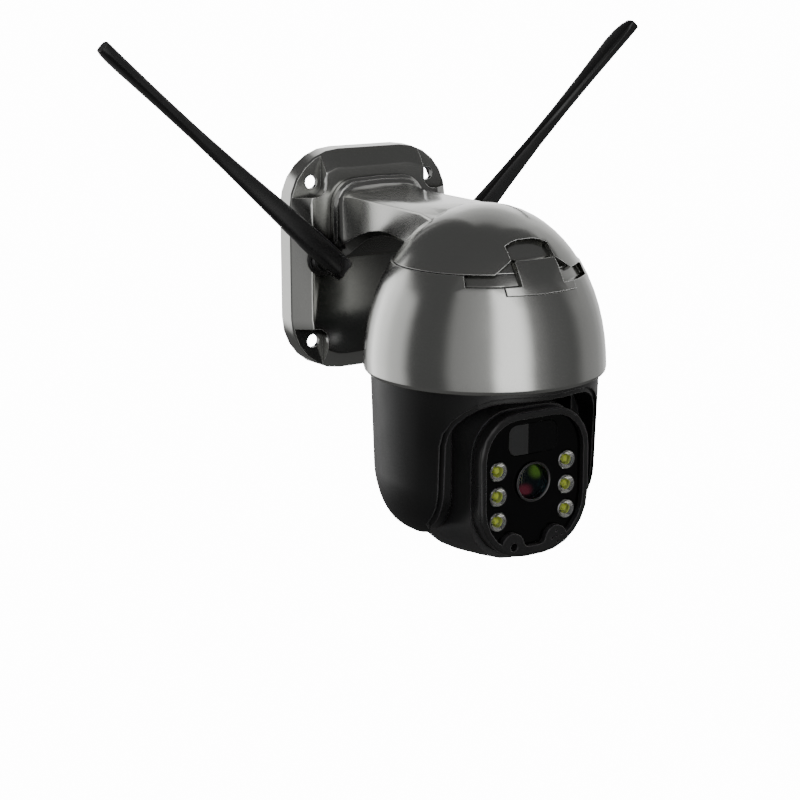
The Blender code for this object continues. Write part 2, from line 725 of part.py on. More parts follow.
def tilt_bearings(steel, brass, pan_axis, tilt_axis):
    centre = (0, TILT_Y, TILT_Z)
    finish(rod(SHAFT_R, "X", -44.0, -20.0, centre, 16), "tilt_shaft", steel, pan_axis)
    sleeve = [(PIVOT_R + GAP, 32.8), (7.0, 32.8), (7.0, 42.5), (PIVOT_R + GAP, 42.5)]
    finish(turned(sleeve, "X", centre, 16), "tilt_bush", brass, pan_axis)
    pivot = [(3.0, 25.3), (8.5, 25.3), (8.5, 27.4), (PIVOT_R, 27.4), (PIVOT_R, 42.2), (3.0, 42.2)]
    finish(turned(pivot, "X", centre, 16), "tilt_pivot", steel, tilt_axis)


# Tilting head


def head_section(turn, y, shrink):
    """One half section of the head, standing out from the tilt axis at an angle."""
    run = min(1.0, max(0.0, (y - HEAD_FRONT_Y) / (TILT_Y - HEAD_FRONT_Y)))
    bulge = math.sin(math.pi / 2 * run)
    low = turn / math.pi
    half = between(HEAD_HALF_W, bulge) - shrink
    radius = between((between(HEAD_TOP_R, bulge), between(HEAD_LOW_R, bulge)), low) - shrink
    corner = between((between(HEAD_TOP_CORNER, bulge), between(HEAD_LOW_CORNER, bulge)), low) - shrink
    flat = arc((-half + corner, radius - corner), corner, 180, 90, 6)
    flat += arc((half - corner, radius - corner), corner, 90, 0, 6)
    return [(x, y + r * math.sin(turn), TILT_Z + r * math.cos(turn)) for x, r in flat]


def head_form(shrink, front):
    """A rounded block that swells from the face to the tilt axis and is half round behind it."""
    depths = [front] + [between((HEAD_FRONT_Y, TILT_Y), share) for share in (0.0, 0.3, 0.65)]
    depths = sorted(set(depth for depth in depths if depth >= front))
    path = [(0.0, y) for y in depths]
    path += [(math.pi * k / 10, TILT_Y) for k in range(11)]
    path += [(math.pi, y) for y in reversed(depths)]
    shape = bmesh.new()
    rows = [[shape.verts.new(point) for point in head_section(turn, y, shrink)] for turn, y in path]
    for low, high in zip(rows, rows[1:]):
        for i in range(len(low) - 1):
            shape.faces.new((low[i], low[i + 1], high[i + 1], high[i]))
    count = len(depths)
    for end in (0, -1):
        side = [row[end] for row in rows]
        for i in range(count):
            shape.faces.new((side[i], side[i + 1], side[-2 - i], side[-1 - i]))
        shape.faces.new(side[count : len(side) - count])
    shape.faces.new(rows[0] + rows[-1][::-1])
    return new_object(shape)


def head_shell(black, tilt_axis):
    shell = cut(head_form(0.0, HEAD_FRONT_Y), head_form(HEAD_WALL, -165))
    centre = (0, TILT_Y, TILT_Z)
    cut(shell, rod(SHAFT_R + GAP, "X", -35, -20, centre, 16), rod(PIVOT_R + GAP, "X", 20, 35, centre, 16))
    cut(shell, cut(prism(card_outline(0.0), "Z", -125, -105), head_form(1.6, HEAD_FRONT_Y - 2)))
    cut(shell, box((-10, 1), (CARD_Y - 1.2, CARD_Y + 1.2), (-120, -110)))
    cut(shell, rod(1.9, "Z", -122, -108, RESET_PLACE, 12))
    return finish(shell, "head_shell", black, tilt_axis)


def card_outline(inset):
    return [(x - 4.5, y + CARD_Y) for x, y in rounded_box(9.0 - inset, -6.0 + inset, 6.0 - inset, 3.0)]


def card_service(black, board_green, grey, tilt_axis, button_axis):
    cover = meet(prism(card_outline(GAP), "Z", -124, -106), head_form(0.0, HEAD_FRONT_Y + 1))
    cut(cover, head_form(1.3, HEAD_FRONT_Y - 1))
    finish(cover, "card_cover", black, tilt_axis)
    board = box((-11, 11), (CARD_Y - 8, CARD_Y + 8), (-112.2, -110.8))
    fuse(board, box((-10, 3), (CARD_Y - 7, CARD_Y + 6), (-111.2, -109.2)))
    for x in (-9.0, 4.0):
        for y in (CARD_Y - 6.5, CARD_Y + 6.5):
            fuse(board, rod(1.2, "Z", -113.2, -111.5, (x, y, 0), 8))
    finish(board, "card_board", board_green, tilt_axis)
    stem = [(0, -116.7), (1.5, -116.7), (1.5, -113.6), (2.6, -113.6), (2.6, -112.9), (0, -112.9)]
    finish(turned(stem, "Z", RESET_PLACE, 16), "reset_button", grey, button_axis)


def face_outline(inset):
    low = TILT_Z - FACE_HALF_H + inset
    high = TILT_Z + FACE_HALF_H - inset
    return rounded_box(FACE_HALF_W - inset, low, high, FACE_LOW_CORNER - inset, FACE_TOP_CORNER - inset)


def scallop_outline(side, grow):
    """One scallop, blended into the panel's foot on the side towards the middle."""
    low = SCALLOP_TOP - SCALLOP_R
    rise = PANEL_LOW_Z + SCALLOP_BLEND - low
    reach = math.sqrt((SCALLOP_R + SCALLOP_BLEND) ** 2 - rise**2)
    lean = math.degrees(math.atan2(rise, reach))
    outline = arc((-reach, low + rise), SCALLOP_BLEND + grow, -90, -lean, 4)[:-1]
    outline += arc((0.0, low), SCALLOP_R - grow, 180 - lean, 0, 10)
    outline += [(SCALLOP_R - grow, low - 9), (-reach, low - 9)]
    return [(side * (SCALLOP_X + u), z) for u, z in outline]


def panel_form(grow, start, end):
    """The face plate's outline as a prism: the face, less two scallops and a foot."""
    form = prism(face_outline(PANEL_INSET - grow), "Y", start, end)
    foot = PANEL_LOW_Z - grow
    cut(form, box((-40, 40), (-170, -130), (foot - 20, foot)))
    for side in (-1, 1):
        cut(form, prism(scallop_outline(side, grow), "Y", -171, -129))
    return form


def front_bezel(black, tilt_axis):
    steps = [(HEAD_FRONT_Y - GAP, 0.3), (FACE_Y + 1.4, 0.0), (FACE_Y + 0.4, 0.4), (FACE_Y, 1.2)]
    bezel = loft([spread(face_outline(inset), "Y", y) for y, inset in steps])
    seat = PANEL_Y + PANEL_THICK + GAP
    cut(bezel, panel_form(0.0, seat, FACE_Y - 5))
    cut(bezel, prism(face_outline(PANEL_INSET + 1.4), "Y", seat - 0.02, -140))
    cut(bezel, rod(MIC_HOLE_R, "Y", -155, -140, (-11.2, 0, -108.6), 12))
    for x, z in ((0, 0), (-2.6, -0.6), (2.6, 0.6), (-0.4, 2.6), (0.4, -2.6)):
        cut(bezel, rod(0.55, "Y", -155, -140, (12.2 + x, 0, -107.4 + z), 6))
    return finish(bezel, "front_bezel", black, tilt_axis)


def led_places():
    return [(side * LED_X, LED_MIDDLE_Z + row * LED_PITCH) for side in (-1, 1) for row in (1, 0, -1)]


def pir_outline(grow):
    return rounded_box(PIR_HALF_W + grow, PIR_BOTTOM - grow, PIR_TOP + grow, 4.0 + grow)


def front_panel(gloss, window, tilt_axis):
    back = PANEL_Y + PANEL_THICK
    panel = panel_form(-GAP, back, PANEL_Y)
    cut(panel, rod(LENS_R + GAP, "Y", -155, -140, (0, 0, LENS_Z), 28))
    for x, z in led_places():
        cut(panel, rod(LED_R + GAP, "Y", -155, -140, (x, 0, z), 16))
    cut(panel, prism(pir_outline(GAP), "Y", -155, -140))
    finish(panel, "front_panel", gloss, tilt_axis)
    finish(prism(pir_outline(0.0), "Y", back, PANEL_Y), "pir_window", window, tilt_axis)


def lamps(chrome, board_green, tilt_axis):
    for i, (x, z) in enumerate(led_places()):
        front = PANEL_Y - 0.5
        cup = [(LED_R - 0.3, front), (LED_R, front + 0.4), (LED_R, front + 1.6), (3.0, LED_BOARD_Y - GAP)]
        cup += [(1.4, LED_BOARD_Y - GAP), (1.5, -144.4), (3.0, -147.0), (3.9, front)]
        finish(turned(cup, "Y", (x, 0, z), 16), f"led_reflector_{i + 1}", chrome, tilt_axis)
    board = prism(rounded_box(25.1, -104.5, -56.0, 16, 12), "Y", LED_BOARD_Y, LED_BOARD_Y + 1.6)
    cut(board, rod(9.0, "Y", -150, -135, (0, 0, LENS_Z), 16))
    for x, z in led_places():
        fuse(board, rod(1.0, "Y", LED_BOARD_Y + 0.8, -143.9, (x, 0, z), 8))
    finish(board, "led_board", board_green, tilt_axis)


def optics(black, glass, board_green, tilt_axis):
    centre = (0, 0, LENS_Z)
    front = PANEL_Y - 0.9
    barrel = [(8.1, front), (LENS_R - 0.3, front), (LENS_R, front + 0.4), (LENS_R, -144), (7.2, -143.4)]
    barrel += [(7.2, SENSOR_BOARD_Y - GAP), (4.0, SENSOR_BOARD_Y - GAP)]
    barrel += [(4.0, -142), (6.6, -146.4), (8.1, -146.4)]
    finish(turned(barrel, "Y", centre, 28), "lens_barrel", black, tilt_axis)
    turns = [math.pi / 2 * k / 5 for k in range(5)]
    bulge = [(7.8 * math.cos(t), -147.6 - 1.6 * math.sin(t)) for t in turns]
    lens = turned([(0, -146.7), (7.8, -146.7)] + bulge + [(0, -149.2)], "Y", centre, 28)
    finish(lens, "lens_glass", glass, tilt_axis)
    board = prism(rounded_box(25.1, -99, -62, 10), "Y", SENSOR_BOARD_Y, SENSOR_BOARD_Y + 1.6)
    fuse(board, box((-2.8, 2.8), (SENSOR_BOARD_Y - 1.5, SENSOR_BOARD_Y + 1), (LENS_Z - 2.2, LENS_Z + 2.2)))
    finish(board, "sensor_board", board_green, tilt_axis)


def sensors(steel, black, tilt_axis):
    can = [(0, -146.2), (3.6, -146.2), (4.1, -145.7), (4.1, -143.4)]
    can += [(4.6, -143.4), (4.6, -142.9), (0, -142.9)]
    finish(turned(can, "Y", (0, 0, -61), 12), "pir_sensor", steel, tilt_axis)
    cone = [(0, -145.4), (3.0, -145.4), (3.7, -146.0), (4.2, -146.0), (4.2, -143.0), (0, -143.0)]
    finish(turned(cone, "Y", (11.0, 0, -101.9), 12), "speaker", black, tilt_axis)
    capsule = [(0, -146.0), (2.4, -146.0), (2.4, -143.0), (0, -143.0)]
    finish(turned(capsule, "Y", (-11.2, 0, -104.2), 16), "microphone", steel, tilt_axis)
    centre = (0, TILT_Y, TILT_Z)
    can = [(0, -27.4), (9.0, -27.4), (10, -26.6), (10, -13.5), (9.2, -12.8), (0, -12.8)]
    motor = cut(turned(can, "X", centre, 16), rod(SHAFT_R + GAP, "X", -32, -19.5, centre, 16))
    finish(motor, "tilt_motor", steel, tilt_axis)


# Antennas


def mast_ring(z, half_v, back, front):
    """One section of the whip: a soft-cornered block, back towards the wall."""
    middle = (back - front) / 2
    half_w = (back + front) / 2
    ring = []
    for k in range(12):
        turn = 2 * math.pi * (k + 0.5) / 12
        across = math.copysign(abs(math.cos(turn)) ** 0.62, math.cos(turn))
        deep = math.copysign(abs(math.sin(turn)) ** 0.62, math.sin(turn))
        ring.append((half_v * across, middle + half_w * deep, z))
    return ring


def mast_mesh():
    """The whip upright, with its pin at the origin: broad at the foot, a paddle at the tip."""
    base = ANTENNA_BASE_R
    tip = ANTENNA_LENGTH - base
    rings = []
    for k in range(4, 0, -1):
        lean = math.pi / 2 * k / 4.4
        rings.append(mast_ring(-base * math.sin(lean), 5.2, base * math.cos(lean), base * math.cos(lean)))
    stations = [
        (0.0, 5.5, base, base),
        (13.0, 5.5, 6.4, 6.4),
        (28.0, 5.2, 4.9, 4.9),
        (48.0, 4.5, 3.5, 3.5),
        (75.0, 3.4, 3.0, 3.0),
        (97.0, 2.8, 3.7, 3.7),
        (118.0, 2.7, 4.6, 4.6),
        (143.0, 2.9, 6.0, 6.0),
        (150.0, 3.0, 5.0, 6.2),
        (154.5, 3.0, 3.0, 6.2),
        (tip, 2.9, 0.6, 6.1),
    ]
    mast = loft(rings + [mast_ring(*row) for row in stations])
    return cut(mast, box((-2.4, 2.4), (-4.9, 10.0), (-9.0, 5.1)), rod(1.8, "X", -9, 9, (0, 0, 0), 12))


def swivel_mesh():
    """The turning collar with the tongue that the whip folds on."""
    ring = [(0, 7.6), (6.2, 7.6), (6.8, 8.2), (6.8, 11.7), (3.3, 11.7), (3.3, 9.0), (0, 9.0)]
    collar = turned(ring, "Y", (0, 0, 0), 16)
    tongue = arc((0, 0), 4.5, 90, 270, 6) + [(8.4, -4.5), (8.4, 4.5)]
    fuse(collar, prism(tongue, "X", -2.1, 2.1))
    return cut(collar, rod(1.8, "X", -6, 6, (0, 0, 0), 12))


def antennas(black, steel):
    for side, sign in (("left", -1), ("right", 1)):
        place = Vector((sign * ANTENNA_X, ANTENNA_PIVOT_Y, ANTENNA_Z))
        post = (place.x, 0, place.z)
        socket = [(0, -11.0), (3.0, -11.0), (3.0, PAD_Y - GAP), (SOCKET_R, PAD_Y - GAP), (SOCKET_R, -17.8)]
        socket += [(SOCKET_R - 0.6, -18.3), (3.0, -18.3), (3.0, -21.0), (0, -21.0)]
        finish(turned(socket, "Y", post, 16), f"antenna_socket_{side}", black)
        turn = carrier(f"antenna_{side}_axis", place)
        lean = Matrix.Rotation(math.radians(ANTENNA_LEAN[side]), 4, "Y")
        pin = rod(1.5, "X", -5.0, 5.0, (0, 0, 0), 12)
        for obj, name, material in (
            (swivel_mesh(), "antenna_swivel", black),
            (pin, "antenna_pin", steel),
            (mast_mesh(), "antenna_mast", black),
        ):
            obj.matrix_world = Matrix.Translation(place * MM) @ lean
            finish(obj, f"{name}_{side}", material, turn)


def main():
    clear_scene()
    metal = make_material("gunmetal", (0.24, 0.24, 0.245), 0.3, 0.9)
    black = make_material("black_plastic", (0.014, 0.014, 0.015), 0.42)
    gloss = make_material("gloss_black", (0.006, 0.006, 0.007), 0.08)
    window = make_material("pir_window", (0.03, 0.03, 0.033), 0.3)
    glass = make_material("lens_glass", (0.01, 0.015, 0.02), 0.03)
    chrome = make_material("reflector", (0.85, 0.85, 0.83), 0.12, 1.0)
    steel = make_material("steel", (0.55, 0.55, 0.56), 0.3, 1.0)
    brass = make_material("brass", (0.72, 0.55, 0.28), 0.3, 1.0)
    rubber = make_material("rubber", (0.02, 0.02, 0.02), 0.8)
    plastic = make_material("inner_plastic", (0.12, 0.12, 0.13), 0.5)
    grey = make_material("button_grey", (0.3, 0.3, 0.32), 0.5)
    board_green = make_material("circuit_board", (0.02, 0.12, 0.05), 0.5)
    cell_wrap = make_material("cell_wrap", (0.05, 0.2, 0.42), 0.35)

    pan_axis = carrier("pan_axis", (0, PAN_Y, TILT_Z))
    tilt_axis = carrier("tilt_axis", (0, TILT_Y, TILT_Z), pan_axis)
    pinion_axis = carrier("pan_pinion_axis", (PINION_X, PAN_Y, GEAR_TOP))
    button_axis = carrier("reset_button_axis", (RESET_PLACE[0], CARD_Y, -116.7), tilt_axis)

    wall_plate(metal)
    plate_fittings(steel, rubber)
    arm_housing(metal)
    dome_ring(metal)
    front_clip(metal)
    pan_drive(plastic, steel, brass, rubber, pan_axis, pinion_axis)
    power_pack(plastic, cell_wrap, board_green)
    pan_housing(black, steel, pan_axis)
    tilt_bearings(steel, brass, pan_axis, tilt_axis)
    head_shell(black, tilt_axis)
    card_service(black, board_green, grey, tilt_axis, button_axis)
    front_bezel(black, tilt_axis)
    front_panel(gloss, window, tilt_axis)
    lamps(chrome, board_green, tilt_axis)
    optics(black, glass, board_green, tilt_axis)
    sensors(steel, black, tilt_axis)
    antennas(black, steel)


main()
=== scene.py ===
"""Looks for the pan-tilt camera: finishes, lamp and lens detail, studio light and camera.

Lengths are in metres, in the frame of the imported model, unless a comment says millimetres.
"""

import json
import math

import bmesh
import bpy
from mathutils import Matrix, Vector

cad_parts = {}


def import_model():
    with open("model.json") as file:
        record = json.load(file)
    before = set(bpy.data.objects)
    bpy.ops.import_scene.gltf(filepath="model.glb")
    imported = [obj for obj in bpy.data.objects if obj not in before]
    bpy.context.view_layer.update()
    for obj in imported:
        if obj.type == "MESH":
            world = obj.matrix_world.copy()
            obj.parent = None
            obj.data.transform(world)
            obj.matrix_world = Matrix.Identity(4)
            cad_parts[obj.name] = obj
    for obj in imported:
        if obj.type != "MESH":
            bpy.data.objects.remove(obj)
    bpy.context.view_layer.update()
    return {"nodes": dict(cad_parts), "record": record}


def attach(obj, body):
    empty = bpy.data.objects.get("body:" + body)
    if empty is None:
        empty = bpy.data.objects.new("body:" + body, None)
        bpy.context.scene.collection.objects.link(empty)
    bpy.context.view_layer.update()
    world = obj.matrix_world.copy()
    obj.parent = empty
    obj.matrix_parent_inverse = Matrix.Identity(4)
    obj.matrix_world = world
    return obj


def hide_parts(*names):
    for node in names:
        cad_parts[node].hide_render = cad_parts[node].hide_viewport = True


MM = 0.001
SMOOTH = {"interpolation_type": "SMOOTHSTEP"}

# Camera, from the photograph's perspective; turns in degrees, lens and sensor in millimetres
CAMERA_PLACE = (-0.43591, -0.74243, 0.14566)
CAMERA_TURN = (77.933, -0.166, -31.505)
CAMERA_LENS = 78.106
CAMERA_SENSOR = 36.0
CAMERA_SHIFT = (0.00885, -0.0902)
CAMERA_CLIP = (0.01, 500.0)

# Studio
FLOOR_Z = -1.6
FLOOR_SIZE = 600.0
FLOOR_GLOW = 14.0
SKY_LEVEL = 0.09
GROUND_LEVEL = 0.1
SIDE_LIGHT = 4.0
SIDE_LIGHT_FROM = (0.9, -0.4, 0.15)
SIDE_LIGHT_SPREAD = 30

# Light round the object: (angle from the front towards +X, level, height of its top edge)
PANELS = (
    (-180, 0.8, 0.15),
    (-174, 1.2, 0.2),
    (-166, 2.3, 0.36),
    (-150, 1.5, 0.41),
    (-132, 0.85, 0.41),
    (-122, 0.76, 0.41),
    (-107, 0.09, 0.41),
    (-76, 0.09, 0.6),
    (-62, 0.32, 0.7),
    (-30, 0.42, 0.7),
    (-19, 2.0, 0.7),
    (0, 2.0, 0.7),
    (16, 0.24, 0.7),
    (36, 0.13, 0.6),
    (58, 0.11, 0.5),
    (78, 0.3, 0.45),
    (96, 0.35, 0.5),
    (108, 0.48, 0.9),
    (124, 0.9, 0.9),
    (143, 2.0, 0.9),
    (153, 1.6, 0.9),
    (167, 0.7, 0.9),
    (171, 0.1, 0.9),
    (180, 0.8, 0.15),
)

# The light behind dims with height: (height, level)
BACK_FADE = (
    (0.0, 2.5),
    (0.2, 1.9),
    (0.36, 1.5),
    (0.47, 1.3),
    (0.58, 0.7),
    (0.7, 0.54),
    (0.84, 0.39),
    (0.9, 0.3),
    (0.96, 0.09),
    (1.0, 0.09),
)

# Where the studio's zones run into each other, as parts of a direction
PANEL_TOP_BAND = (-0.06, 0.06)
BACK_BAND = (-0.1, 0.15)
GROUND_BAND = (0.22, 0.45)

# Smooth shading, in degrees
NODE_SHARP_ANGLE = 30
PIECE_SHARP_ANGLE = 35
WELD_REACH = 1e-6

# Pale outer edges, partly wear and partly a painted highlight: marked and sound cosines between the rounded
# normal and the surface's own
EDGE_BAND = (0.82, 0.98)
WEAR_AND_HIGHLIGHT_REACH = 0.004
WEAR_AND_HIGHLIGHT_OPEN_BAND = (0.55, 0.85)
METAL_WEAR_AND_HIGHLIGHT = (0.78, 0.78, 0.77)
PLASTIC_WEAR_AND_HIGHLIGHT = (0.07, 0.07, 0.071)
BEVEL_SAMPLES = 6

# Painted shade in hollows: the open share that counts as closed in, and as open
PAINTED_SHADE_BAND = (0.25, 0.85)
OPEN_SAMPLES = 16

# The part of a noise pattern's range that is in use
NOISE_BAND = (0.3, 0.7)

# Metallic paint
PAINT_DARK = (0.575, 0.578, 0.556)
PAINT_LIGHT = (0.635, 0.638, 0.614)

# Painted light on the sides: where a piece's normal turns from its front to its side, along Y
PAINTED_SIDE_LIGHT_BAND = (-0.8, -0.3)

# Motion window: where its paler part, at lower X, ends, in millimetres, and its two colours
PALE_PART_END_X = -2.6
PALE_PART_END_SOFT = 0.15
PALE_PART_COLOUR = (0.024, 0.024, 0.024)
DARK_PART_COLOUR = (0.0015, 0.0015, 0.0016)

# Places on the face, in millimetres
LED_X = 18.46
LED_PITCH = 11.43
LED_MIDDLE_Z = -84.8
LENS_Z = -80.6

# Domed discs of the lamps and the lens: radius, and places along Y, in millimetres
LAMP_CHIP = {"radius": 1.6, "back": -145.1, "shoulder": -146.7, "tip": -147.7}
LAMP_LENS = {"radius": 3.75, "back": -148.0, "shoulder": -148.3, "tip": -149.3}
LENS_COVER = {"radius": 7.8, "back": -147.45, "shoulder": -147.6, "tip": -149.35}
LENS_ELEMENT = {"radius": 8.0, "back": -146.42, "shoulder": -146.45, "tip": -147.3}
LAMP_ARC_STEPS = 6
LENS_ARC_STEPS = 10
LAMP_SIDES = 32
LENS_SIDES = 64

# The trim ring's section: (radius, y) in millimetres
TRIM_SECTION = (
    (8.5, -149.52),
    (8.8, -149.66),
    (9.1, -149.6),
    (9.1, -149.4),
    (8.86, -149.4),
    (8.5, -149.45),
)

# Zones of coating tint on the inner element, laid where coloured reflections are to show, so partly a
# painted reflection, seen from the front: (centre, size, softness, colour)
COATING_BASE = (0.01, 0.014, 0.024)
COATING_AND_REFLECTION_ZONES = (
    ((0.5, 0.55), (0.8, 0.65), 0.7, (0.42, 0.9, 0.08)),
    ((-0.45, -0.6), (0.75, 0.6), 0.7, (0.9, 0.12, 0.22)),
    ((0.8, -0.35), (0.4, 0.5), 0.9, (0.03, 0.14, 0.16)),
)

# Pieces of one material with their own level and gloss: the head's paler copy is painted light, the plate's
# copy carries deep painted shade, and the bezel has painted light on its sides
NODE_LOOKS = {
    "front_bezel": "bezel_black",
    "head_shell": "head_black_painted_light",
    "card_cover": "head_black_painted_light",
    "antenna_mast_left": "mast_black",
    "antenna_mast_right": "mast_black",
    "wall_plate": "plate_painted_shade",
}


# Geometry


def domed(radius, back, shoulder, tip, steps, walled=True):
    """The profile of a disc with a domed front. A walled one has a straight side behind the dome."""
    turns = [math.pi / 2 * k / steps for k in range(steps)]
    bulge = shoulder - tip
    front = [(radius * math.cos(t), shoulder - bulge * math.sin(t)) for t in turns]
    wall = [(radius, back)] if walled else []
    return [(0, back)] + wall + front + [(0, tip)]


def lathe(name, profile, centre, sides):
    """A turned skin about a line along Y through centre, from (radius, y) points in millimetres."""
    shape = bmesh.new()
    rows = []
    for radius, y in profile:
        count = 1 if radius < 1e-6 else sides
        turns = [2 * math.pi * k / sides for k in range(count)]
        ring = [(centre[0] + radius * math.cos(t), y, centre[1] + radius * math.sin(t)) for t in turns]
        rows.append([shape.verts.new(Vector(point) * MM) for point in ring])
    pairs = list(zip(rows, rows[1:]))
    if len(rows[0]) > 1 and len(rows[-1]) > 1:
        pairs.append((rows[-1], rows[0]))
    for low, high in pairs:
        for i in range(sides):
            j = (i + 1) % sides
            corners = [low[i % len(low)], low[j % len(low)], high[j % len(high)], high[i % len(high)]]
            shape.faces.new(list(dict.fromkeys(corners)))
    return object_from(name, shape)


def object_from(name, shape):
    bmesh.ops.recalc_face_normals(shape, faces=shape.faces)
    mesh = bpy.data.meshes.new(name)
    shape.to_mesh(mesh)
    shape.free()
    mesh.shade_smooth()
    mesh.set_sharp_from_angle(angle=math.radians(PIECE_SHARP_ANGLE))
    obj = bpy.data.objects.new(name, mesh)
    bpy.context.scene.collection.objects.link(obj)
    return obj


def smooth_group(limit):
    """A modifier tree that shades a mesh smooth, apart from edges sharper than a limit in degrees."""
    group = bpy.data.node_groups.new(f"smooth_{limit}", "GeometryNodeTree")
    group.interface.new_socket("Geometry", in_out="INPUT", socket_type="NodeSocketGeometry")
    group.interface.new_socket("Geometry", in_out="OUTPUT", socket_type="NodeSocketGeometry")
    source = group.nodes.new("NodeGroupInput")
    target = group.nodes.new("NodeGroupOutput")
    faces = group.nodes.new("GeometryNodeSetShadeSmooth")
    faces.domain = "FACE"
    edges = group.nodes.new("GeometryNodeSetShadeSmooth")
    edges.domain = "EDGE"
    edges.inputs["Shade Smooth"].default_value = False
    angle = group.nodes.new("GeometryNodeInputMeshEdgeAngle")
    sharp = group.nodes.new("FunctionNodeCompare")
    sharp.operation = "GREATER_THAN"
    sharp.inputs["B"].default_value = math.radians(limit)
    group.links.new(angle.outputs["Unsigned Angle"], sharp.inputs["A"])
    group.links.new(sharp.outputs["Result"], edges.inputs["Selection"])
    group.links.new(source.outputs["Geometry"], faces.inputs["Geometry"])
    group.links.new(faces.outputs["Geometry"], edges.inputs["Geometry"])
    group.links.new(edges.outputs["Geometry"], target.inputs["Geometry"])
    return group


def smooth_node(obj, group):
    """Joins a CAD mesh's split corners and shades its round surfaces smoothly."""
    if "custom_normal" in obj.data.attributes:
        obj.data.attributes.remove(obj.data.attributes["custom_normal"])
    weld = obj.modifiers.new("weld", "WELD")
    weld.merge_threshold = WELD_REACH
    smooth = obj.modifiers.new("smooth", "NODES")
    smooth.node_group = group
    weighted = obj.modifiers.new("weighted", "WEIGHTED_NORMAL")
    weighted.keep_sharp = True


def dress(obj, material, body):
    obj.data.materials.clear()
    obj.data.materials.append(material)
    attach(obj, body)


# Shader nodes


def new_material(name, colour, roughness, metallic=0.0):
    made = bpy.data.materials.new(name)
    made.use_nodes = True
    shader = made.node_tree.nodes["Principled BSDF"]
    shader.inputs["Base Color"].default_value = (*colour, 1.0)
    shader.inputs["Roughness"].default_value = roughness
    shader.inputs["Metallic"].default_value = metallic
    return made, made.node_tree, shader


def add_node(tree, kind, settings=None, **values):
    node = tree.nodes.new(kind)
    for key, value in (settings or {}).items():
        setattr(node, key, value)
    for key, value in values.items():
        node.inputs[key.replace("_", " ")].default_value = value
    return node


def feed(tree, socket, value):
    """Sets a socket to a number or a colour, or links an output to it."""
    if isinstance(value, float):
        socket.default_value = value
    elif isinstance(value, tuple):
        socket.default_value = (*value, 1.0)
    else:
        tree.links.new(value, socket)


def compute(tree, operation, first, second):
    node = add_node(tree, "ShaderNodeMath", {"operation": operation})
    feed(tree, node.inputs[0], first)
    feed(tree, node.inputs[1], second)
    return node.outputs["Value"]


def mix_colours(tree, blend, share, first, second):
    mix = add_node(tree, "ShaderNodeMix", {"data_type": "RGBA", "blend_type": blend})
    for place, value in ((0, share), (6, first), (7, second)):
        feed(tree, mix.inputs[place], value)
    return mix.outputs[2]


def blend_level(tree, share, first, second):
    """Goes from one level to another as share rises from 0 to 1."""
    mix = tree.nodes.new("ShaderNodeMix")
    for place, value in ((0, share), (2, first), (3, second)):
        feed(tree, mix.inputs[place], value)
    return mix.outputs[0]


def map_range(tree, source, band, low=0.0, high=1.0, settings=None):
    """Maps a value from a band, given by its two ends, onto low to high."""
    ends = {"From_Min": band[0], "From_Max": band[1], "To_Min": low, "To_Max": high}
    node = add_node(tree, "ShaderNodeMapRange", settings, **ends)
    tree.links.new(source, node.inputs["Value"])
    return node.outputs["Result"]


def smooth_step(tree, source, band):
    return map_range(tree, source, band, settings=SMOOTH)


def smooth_fall(tree, source, band):
    return map_range(tree, source, band, 1.0, 0.0, SMOOTH)


def axes(tree, kind):
    """The parts of a texture coordinate, as outputs named X, Y and Z."""
    place = tree.nodes.new("ShaderNodeTexCoord")
    split = tree.nodes.new("ShaderNodeSeparateXYZ")
    tree.links.new(place.outputs[kind], split.inputs["Vector"])
    return split.outputs


def noise(tree, scale, detail=2.0, stretch=None):
    place = tree.nodes.new("ShaderNodeTexCoord")
    source = place.outputs["Object"]
    if stretch:
        mapping = add_node(tree, "ShaderNodeMapping", Scale=stretch)
        tree.links.new(source, mapping.inputs["Vector"])
        source = mapping.outputs["Vector"]
    made = add_node(tree, "ShaderNodeTexNoise", Scale=scale, Detail=detail)
    tree.links.new(source, made.inputs["Vector"])
    return made.outputs["Fac"]


def spread_colours(tree, source, first, last, band=NOISE_BAND):
    """Maps a value from a band, given by its two ends, onto two colours."""
    ramp = tree.nodes.new("ShaderNodeValToRGB")
    for stop, place, colour in zip(ramp.color_ramp.elements, band, (first, last)):
        stop.position = place
        stop.color = (*colour, 1.0)
    tree.links.new(source, ramp.inputs["Fac"])
    return ramp.outputs["Color"]


def vary_gloss(tree, shader, source, low, high):
    """Lets the roughness follow a noise pattern between two values."""
    tree.links.new(map_range(tree, source, NOISE_BAND, low, high), shader.inputs["Roughness"])


def surface(tree, shader, edge=0.0, grain=None, strength=0.0, depth=0.0):
    """Rounds the edges by a radius and adds a grain. Gives the rounded normal."""
    bevel = None
    if edge:
        bevel = add_node(tree, "ShaderNodeBevel", {"samples": BEVEL_SAMPLES}, Radius=edge).outputs["Normal"]
    normal = bevel
    if grain:
        bump = add_node(tree, "ShaderNodeBump", Strength=strength, Distance=depth)
        tree.links.new(grain, bump.inputs["Height"])
        if bevel:
            tree.links.new(bevel, bump.inputs["Normal"])
        normal = bump.outputs["Normal"]
    tree.links.new(normal, shader.inputs["Normal"])
    return bevel


def open_share(tree, reach, low, band=PAINTED_SHADE_BAND):
    """From low in corners and where other pieces stand close in front, to 1 in the open. The casting paint
    multiplies its colour by it as painted shade.
    """
    open_air = add_node(tree, "ShaderNodeAmbientOcclusion", {"samples": OPEN_SAMPLES}, Distance=reach)
    return map_range(tree, open_air.outputs["AO"], band, low, 1.0)


def edge_share(tree, bevel):
    """0 on even stretches, 1 along edges, where the rounded normal leaves the surface's own."""
    own = tree.nodes.new("ShaderNodeNewGeometry")
    even = add_node(tree, "ShaderNodeVectorMath", {"operation": "DOT_PRODUCT"})
    tree.links.new(bevel, even.inputs[0])
    tree.links.new(own.outputs["Normal"], even.inputs[1])
    return smooth_fall(tree, even.outputs["Value"], EDGE_BAND)


